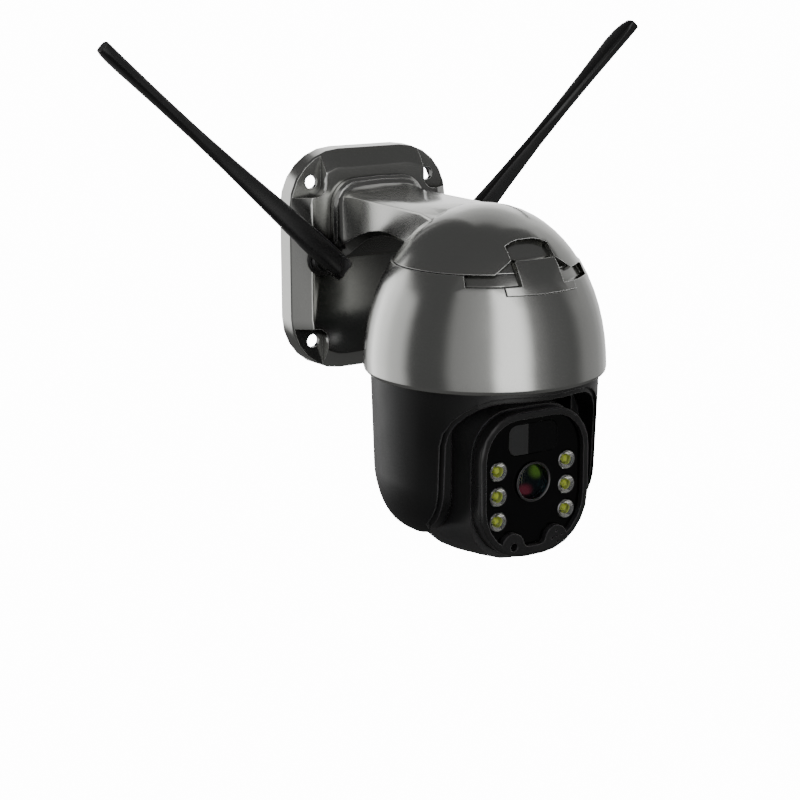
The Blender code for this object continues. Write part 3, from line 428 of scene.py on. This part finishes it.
def wear_and_highlight_edges(tree, shader, bevel, colour, pale_edge):
    """Turns the outer edges paler, partly as wear and partly as a painted highlight, and gives the share of
    that mark.
    """
    outer = open_share(tree, WEAR_AND_HIGHLIGHT_REACH, 0.0, WEAR_AND_HIGHLIGHT_OPEN_BAND)
    wear_and_highlight = compute(tree, "MULTIPLY", edge_share(tree, bevel), outer)
    tree.links.new(mix_colours(tree, "MIX", wear_and_highlight, colour, pale_edge), shader.inputs["Base Color"])
    return wear_and_highlight


def flat_place(tree):
    """Places on a round piece seen from the front, from -1 to 1 across and up."""
    place = tree.nodes.new("ShaderNodeTexCoord")
    flat = add_node(tree, "ShaderNodeMapping", Location=(-1, 0, -1), Scale=(2, 0, 2))
    tree.links.new(place.outputs["Generated"], flat.inputs["Vector"])
    return flat.outputs["Vector"]


def zone(tree, flat, centre, size, soft):
    """A soft-edged oval: 1 in the middle, 0 outside."""
    wide, high = size
    shift = (-centre[0] / wide, 0, -centre[1] / high)
    oval = add_node(tree, "ShaderNodeMapping", Location=shift, Scale=(1 / wide, 0, 1 / high))
    tree.links.new(flat, oval.inputs["Vector"])
    length = add_node(tree, "ShaderNodeVectorMath", {"operation": "LENGTH"})
    tree.links.new(oval.outputs["Vector"], length.inputs[0])
    return smooth_fall(tree, length.outputs["Value"], (1 - soft, 1.0))


# Materials


def tinted(level):
    """A grey with a trace of blue."""
    return (level, level, level * 1.015)


def cast_metal(name, reach, painted_shade_deepest):
    """Fine metallic paint over a casting: tiny flakes, a slow change in gloss, painted shade in hollows,
    and pale outer edges that are partly wear and partly a painted highlight.
    """
    made, tree, shader = new_material(name, (0.6, 0.6, 0.6), 0.18, 1.0)
    flakes = noise(tree, scale=2600, detail=3.0)
    colour = spread_colours(tree, flakes, PAINT_DARK, PAINT_LIGHT)
    # Painted shade: the paint colour is darkened in hollows and where other pieces stand close in front.
    colour = mix_colours(tree, "MULTIPLY", 1.0, colour, open_share(tree, reach, painted_shade_deepest))
    vary_gloss(tree, shader, noise(tree, scale=55), low=0.16, high=0.2)
    bevel = surface(tree, shader, edge=0.0005, grain=flakes, strength=0.02, depth=0.00005)
    # Pale, non-metallic outer edges: partly wear, partly a painted highlight.
    wear_and_highlight = wear_and_highlight_edges(tree, shader, bevel, colour, METAL_WEAR_AND_HIGHLIGHT)
    tree.links.new(map_range(tree, wear_and_highlight, (0.0, 1.0), 1.0, 0.0), shader.inputs["Metallic"])
    return made


def satin_black(name, level, roughness, edge, specular=0.5, side=None):
    """Moulded black plastic with a fine spark-eroded grain, and, if given, a paler level painted on the
    sides as painted light.
    """
    made, tree, shader = new_material(name, (level, level, level), roughness)
    shader.inputs["Specular IOR Level"].default_value = specular
    slow = noise(tree, scale=45)
    colour = spread_colours(tree, slow, tinted(level * 0.85), tinted(level * 1.15))
    # Painted light: the sides get a paler level than the front.
    if side:
        share = smooth_step(tree, axes(tree, "Normal")["Y"], PAINTED_SIDE_LIGHT_BAND)
        colour = mix_colours(tree, "MIX", share, colour, tinted(side))
    vary_gloss(tree, shader, slow, roughness - 0.04, roughness + 0.04)
    fine = noise(tree, scale=5200)
    bevel = surface(tree, shader, edge=edge, grain=fine, strength=0.06, depth=0.00006)
    # Pale outer edges: partly wear, partly a painted highlight.
    wear_and_highlight_edges(tree, shader, bevel, colour, PLASTIC_WEAR_AND_HIGHLIGHT)
    return made


def polished_black():
    made, tree, shader = new_material("look_gloss_black", (0.0007, 0.0007, 0.0008), 0.06)
    shader.inputs["Specular IOR Level"].default_value = 0.3
    slow = noise(tree, scale=70)
    vary_gloss(tree, shader, slow, low=0.05, high=0.08)
    surface(tree, shader, edge=0.0002, grain=slow, strength=0.01, depth=0.0002)
    return made


def window_plastic():
    """The motion window: paler where X is low, darker beside it."""
    made, tree, shader = new_material("look_pir_window", (0.015, 0.015, 0.016), 0.14)
    shader.inputs["Specular IOR Level"].default_value = 0.3
    band = ((PALE_PART_END_X - PALE_PART_END_SOFT) * MM, (PALE_PART_END_X + PALE_PART_END_SOFT) * MM)
    beside = smooth_step(tree, axes(tree, "Object")["X"], band)
    colour = spread_colours(tree, beside, PALE_PART_COLOUR, DARK_PART_COLOUR, (0.0, 1.0))
    tree.links.new(colour, shader.inputs["Base Color"])
    vary_gloss(tree, shader, noise(tree, scale=900), low=0.1, high=0.16)
    surface(tree, shader, edge=0.0002)
    return made


def bright_reflector():
    made, tree, shader = new_material("look_reflector", (0.86, 0.86, 0.84), 0.1, 1.0)
    slow = noise(tree, scale=1500)
    vary_gloss(tree, shader, slow, low=0.07, high=0.14)
    surface(tree, shader, grain=slow, strength=0.02, depth=0.0001)
    return made


def clear_cover():
    """A thin clear shell: seen through, with a glossy outside and a thin coating film."""
    made, tree, shader = new_material("look_lens_cover", (0.01, 0.012, 0.015), 0.03)
    shader.inputs["IOR"].default_value = 1.5
    shader.inputs["Alpha"].default_value = 0.12
    shader.inputs["Coat Weight"].default_value = 1.0
    shader.inputs["Coat Roughness"].default_value = 0.02
    shader.inputs["Thin Film Thickness"].default_value = 420.0
    shader.inputs["Thin Film IOR"].default_value = 1.38
    vary_gloss(tree, shader, noise(tree, scale=300), low=0.02, high=0.05)
    return made


def coated_glass():
    """The inner element: blue-black, mirroring green at one edge and red at the other; these tint zones
    place the coloured reflections and are partly a painted reflection.
    """
    made, tree, shader = new_material("look_coated_glass", COATING_BASE, 0.08, 1.0)
    flat = flat_place(tree)
    colour = COATING_BASE
    for centre, size, soft, tint in COATING_AND_REFLECTION_ZONES:
        colour = mix_colours(tree, "ADD", zone(tree, flat, centre, size, soft), colour, tint)
    tree.links.new(colour, shader.inputs["Base Color"])
    ripple = noise(tree, scale=220, detail=1.0)
    vary_gloss(tree, shader, ripple, low=0.06, high=0.1)
    surface(tree, shader, grain=ripple, strength=0.05, depth=0.0003)
    return made


def worked_metal(name, colour, roughness):
    """Bare metal with fine tool lines."""
    made, tree, shader = new_material(name, colour, roughness, 1.0)
    lines = noise(tree, scale=2400, detail=3.0, stretch=(1.0, 8.0, 1.0))
    vary_gloss(tree, shader, lines, roughness - 0.06, roughness + 0.08)
    surface(tree, shader, edge=0.0002, grain=lines, strength=0.06, depth=0.00005)
    return made


def plain_plastic(name, colour, roughness, scale=3000, strength=0.08):
    made, tree, shader = new_material(name, colour, roughness)
    fine = noise(tree, scale)
    low = tuple(value * 0.85 for value in colour)
    high = tuple(min(1.0, value * 1.15) for value in colour)
    tree.links.new(spread_colours(tree, fine, low, high), shader.inputs["Base Color"])
    surface(tree, shader, edge=0.0003, grain=fine, strength=strength, depth=0.00008)
    return made


def circuit_board():
    """Green solder mask with a hint of the copper tracks below it."""
    made, tree, shader = new_material("look_circuit_board", (0.02, 0.12, 0.05), 0.35)
    place = tree.nodes.new("ShaderNodeTexCoord")
    cells = add_node(tree, "ShaderNodeTexVoronoi", Scale=380)
    tree.links.new(place.outputs["Object"], cells.inputs["Vector"])
    tracks = cells.outputs["Distance"]
    colour = spread_colours(tree, tracks, (0.03, 0.17, 0.07), (0.012, 0.09, 0.035))
    tree.links.new(colour, shader.inputs["Base Color"])
    surface(tree, shader, edge=0.0002, grain=tracks, strength=0.15, depth=0.0001)
    return made


def pale_floor():
    made, _, shader = new_material("stage_floor", (0.9, 0.9, 0.9), 0.9)
    shader.inputs["Emission Color"].default_value = (1.0, 1.0, 1.0, 1.0)
    shader.inputs["Emission Strength"].default_value = FLOOR_GLOW
    return made


# Pieces


def led_places():
    return [(side * LED_X, LED_MIDDLE_Z + row * LED_PITCH) for side in (-1, 1) for row in (1, 0, -1)]


def lamp_details(yellow, clear):
    chip = domed(**LAMP_CHIP, steps=LAMP_ARC_STEPS)
    lens = domed(**LAMP_LENS, steps=LAMP_ARC_STEPS)
    for i, place in enumerate(led_places(), 1):
        dress(lathe(f"lamp_chip_{i}", chip, place, LAMP_SIDES), yellow, "head")
        dress(lathe(f"lamp_lens_{i}", lens, place, LAMP_SIDES), clear, "head")


def lens_details(coated, clear, grey):
    centre = (0.0, LENS_Z)
    cover = lathe("lens_cover", domed(**LENS_COVER, steps=LENS_ARC_STEPS), centre, LENS_SIDES)
    dress(cover, clear, "head")
    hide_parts("lens_glass")
    inner = domed(**LENS_ELEMENT, steps=LENS_ARC_STEPS, walled=False)
    dress(lathe("lens_element", inner, centre, LENS_SIDES), coated, "head")
    dress(lathe("lens_trim", TRIM_SECTION, centre, LENS_SIDES), grey, "head")


def dress_nodes(nodes, looks, slots):
    group = smooth_group(NODE_SHARP_ANGLE)
    for name, obj in nodes.items():
        obj.data.materials.clear()
        obj.data.materials.append(looks[NODE_LOOKS.get(name, slots[name])])
        smooth_node(obj, group)


# Studio


def add_camera():
    data = bpy.data.cameras.new("camera")
    data.sensor_width = CAMERA_SENSOR
    data.lens = CAMERA_LENS
    data.shift_x, data.shift_y = CAMERA_SHIFT
    data.clip_start, data.clip_end = CAMERA_CLIP
    camera = bpy.data.objects.new("camera", data)
    pitch, roll, heading = (math.radians(angle) for angle in CAMERA_TURN)
    turn = Matrix.Rotation(heading, 4, "Z") @ Matrix.Rotation(pitch, 4, "X")
    turn = turn @ Matrix.Rotation(roll, 4, "Z")
    camera.matrix_world = Matrix.Translation(CAMERA_PLACE) @ turn
    bpy.context.scene.collection.objects.link(camera)
    bpy.context.scene.camera = camera


def add_floor():
    shape = bmesh.new()
    half = FLOOR_SIZE / 2
    corners = [(-half, -half), (half, -half), (half, half), (-half, half)]
    shape.faces.new([shape.verts.new((x, y, FLOOR_Z)) for x, y in corners])
    floor = object_from("floor", shape)
    floor.data.materials.append(pale_floor())
    floor.visible_glossy = False
    floor.visible_diffuse = False


def add_side_light():
    """A soft light from the right that shapes the black plastic and isn't mirrored in the metal."""
    data = bpy.data.lights.new("side_light", "SUN")
    data.energy = SIDE_LIGHT
    data.angle = math.radians(SIDE_LIGHT_SPREAD)
    light = bpy.data.objects.new("side_light", data)
    light.rotation_euler = Vector(SIDE_LIGHT_FROM).to_track_quat("Z", "Y").to_euler()
    light.visible_glossy = False
    bpy.context.scene.collection.objects.link(light)


def level_ramp(tree, source, stops):
    """A level along a value that runs from 0 to 1, given as (place, level) stops."""
    ramp = tree.nodes.new("ShaderNodeValToRGB")
    ramp.color_ramp.interpolation = "EASE"
    points = ramp.color_ramp.elements
    for point, (place, level) in ((points[0], stops[0]), (points[1], stops[-1])):
        point.position = place
        point.color = (level, level, level, 1.0)
    for place, level in stops[1:-1]:
        point = points.new(place)
        point.color = (level, level, level, 1.0)
    tree.links.new(source, ramp.inputs["Fac"])
    return ramp.outputs["Color"]


def add_world():
    """Soft light all round, with tall soft panels and dark gaps that the metal mirrors."""
    world = bpy.data.worlds.new("studio")
    world.use_nodes = True
    tree = world.node_tree
    parts = axes(tree, "Generated")
    right, back, up = (parts[axis] for axis in "XYZ")
    front = compute(tree, "MULTIPLY", back, -1.0)
    down = compute(tree, "MULTIPLY", up, -1.0)
    turn = map_range(tree, compute(tree, "ARCTAN2", right, front), (-math.pi, math.pi))
    level = level_ramp(tree, turn, [((angle + 180) / 360, glow) for angle, glow, _ in PANELS])
    top = level_ramp(tree, turn, [((angle + 180) / 360, height) for angle, _, height in PANELS])
    above = smooth_step(tree, compute(tree, "SUBTRACT", up, top), PANEL_TOP_BAND)
    level = blend_level(tree, above, level, SKY_LEVEL)
    faded = compute(tree, "MINIMUM", level, level_ramp(tree, up, BACK_FADE))
    level = blend_level(tree, smooth_step(tree, back, BACK_BAND), level, faded)
    level = blend_level(tree, smooth_step(tree, down, GROUND_BAND), level, GROUND_LEVEL)
    tree.links.new(level, tree.nodes["Background"].inputs["Color"])
    bpy.context.scene.world = world


def make_looks():
    return {
        # Both casting looks carry painted shade in hollows; the plate's copy reaches far and darkens
        # deeply, under the arm most of all.
        "gunmetal": cast_metal("look_gunmetal", reach=0.02, painted_shade_deepest=0.6),
        "plate_painted_shade": cast_metal("look_plate_painted_shade", reach=0.12, painted_shade_deepest=0.13),
        "black_plastic": satin_black("look_black_plastic", 0.004, 0.44, edge=0.0009, specular=0.65),
        # Painted light: the bezel's sides get a paler level than its front.
        "bezel_black": satin_black("look_bezel", 0.01, 0.3, edge=0.0007, side=0.03),
        # Painted light: the head's copy of the black plastic is many times paler than the drum's.
        "head_black_painted_light": satin_black("look_head_painted_light", 0.045, 0.42, edge=0.0001),
        "mast_black": satin_black("look_mast", 0.013, 0.27, edge=0.0005),
        "gloss_black": polished_black(),
        "pir_window": window_plastic(),
        "reflector": bright_reflector(),
        "lens_glass": clear_cover(),
        "steel": worked_metal("look_steel", (0.55, 0.55, 0.56), 0.3),
        "brass": worked_metal("look_brass", (0.72, 0.55, 0.28), 0.3),
        "rubber": plain_plastic("look_rubber", (0.02, 0.02, 0.02), 0.75, scale=1800, strength=0.25),
        "inner_plastic": plain_plastic("look_inner_plastic", (0.12, 0.12, 0.13), 0.5),
        "button_grey": plain_plastic("look_button_grey", (0.3, 0.3, 0.32), 0.5),
        "circuit_board": circuit_board(),
        "cell_wrap": plain_plastic("look_cell_wrap", (0.05, 0.2, 0.42), 0.3, scale=400, strength=0.03),
    }


def main():
    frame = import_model()
    add_camera()
    add_floor()
    add_world()
    add_side_light()
    looks = make_looks()
    slots = {part["node"]: part["material_slot"] for part in frame["record"]["subparts"]}
    dress_nodes(frame["nodes"], looks, slots)
    yellow = plain_plastic("look_lamp_chip", (0.5, 0.6, 0.045), 0.3)
    lamp_details(yellow, looks["lens_glass"])
    grey = worked_metal("look_trim", (0.13, 0.13, 0.13), 0.35)
    lens_details(coated_glass(), looks["lens_glass"], grey)


main()
